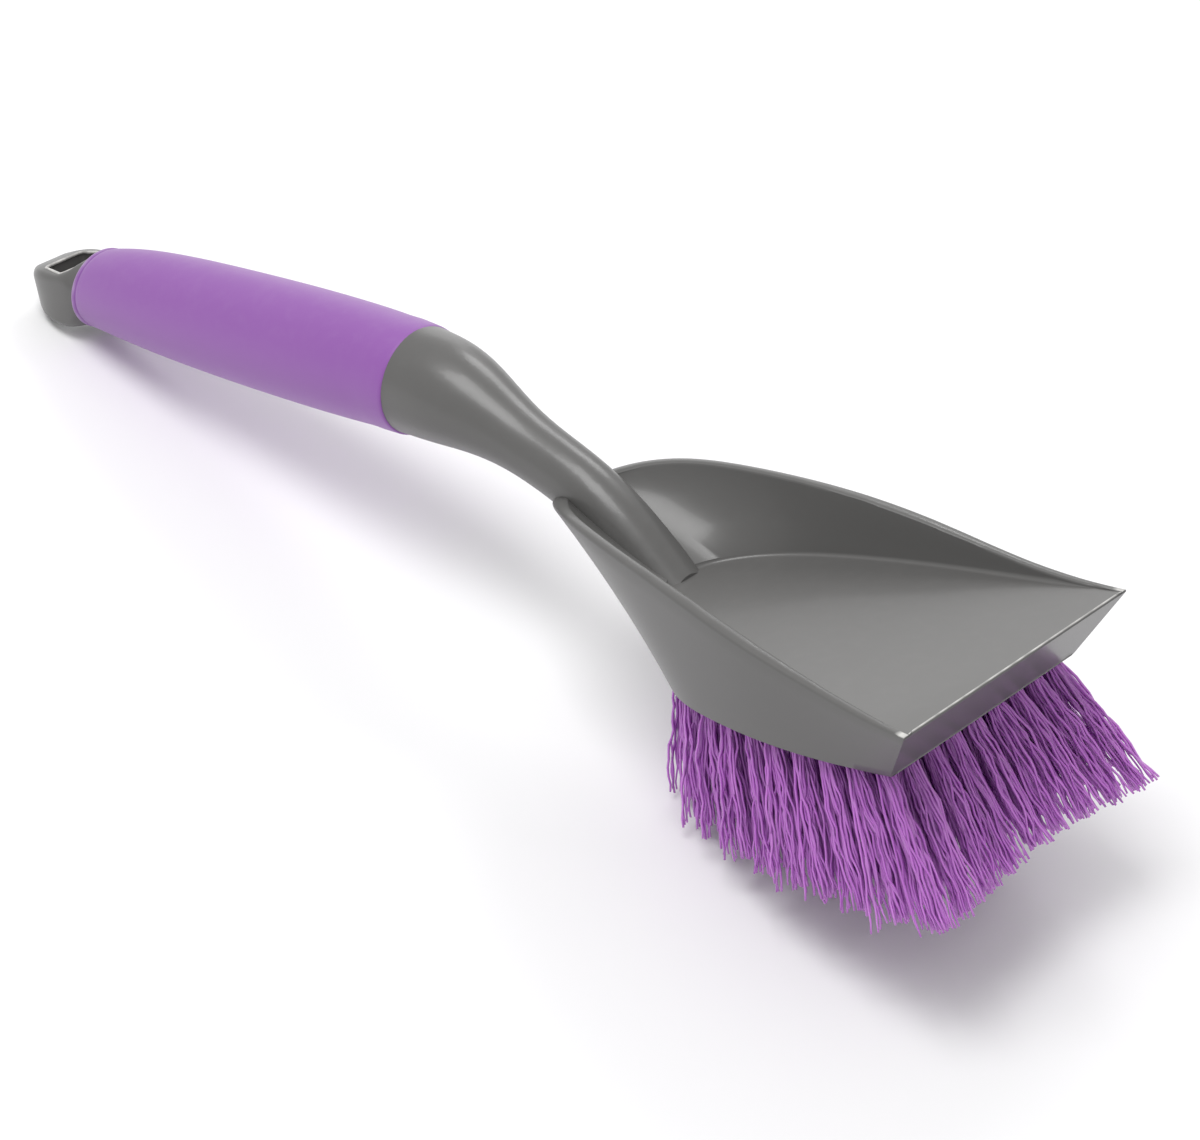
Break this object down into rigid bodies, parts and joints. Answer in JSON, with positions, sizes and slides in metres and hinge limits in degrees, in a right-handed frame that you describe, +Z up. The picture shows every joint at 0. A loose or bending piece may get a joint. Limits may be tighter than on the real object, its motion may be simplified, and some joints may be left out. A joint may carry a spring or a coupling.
{
  "type": "dust pan and brush",
  "caption": "Hand brush with a shallow dust pan moulded over its bristles, on one soft-gripped handle that ends in a hang loop.",
  "frame": {"origin": "on the surface the tool lies on, under the middle of its footprint", "axes": "+X along the tool from the hang loop to the pan's lip, +Y across, +Z up; the tool lies at rest, nose up, on its rear bristles and the end of its handle"},
  "size_m": [0.4456, 0.102, 0.0999],
  "materials": {
    "shell_plastic": "moulded grey polypropylene, fine satin grain, semi-gloss",
    "block_plastic": "grey polypropylene, matt",
    "soft_grip": "satin thermoplastic rubber, purple",
    "bristle": "crimped purple plastic filament with a slight gloss",
    "anchor_wire": "flat steel wire",
    "screw_steel": "zinc-plated steel"
  },
  "bodies": {
    "root": {"pan_shell": "shell_plastic", "handle_stem": "shell_plastic", "grip_sleeve": "soft_grip", "hang_loop": "shell_plastic", "brush_block": "block_plastic", "block_screws": "screw_steel", "stem_screws": "screw_steel", "bristle_row_1": "bristle", "bristle_row_2": "bristle", "bristle_row_3": "bristle", "bristle_row_4": "bristle", "bristle_row_5": "bristle", "bristle_row_6": "bristle", "bristle_row_7": "bristle", "bristle_row_8": "bristle", "bristle_row_9": "bristle", "bristle_row_10": "bristle", "tuft_anchors_1": "anchor_wire", "tuft_anchors_2": "anchor_wire", "tuft_anchors_3": "anchor_wire", "tuft_anchors_4": "anchor_wire", "tuft_anchors_5": "anchor_wire", "tuft_anchors_6": "anchor_wire", "tuft_anchors_7": "anchor_wire", "tuft_anchors_8": "anchor_wire", "tuft_anchors_9": "anchor_wire", "tuft_anchors_10": "anchor_wire"}
  },
  "joints": []
}
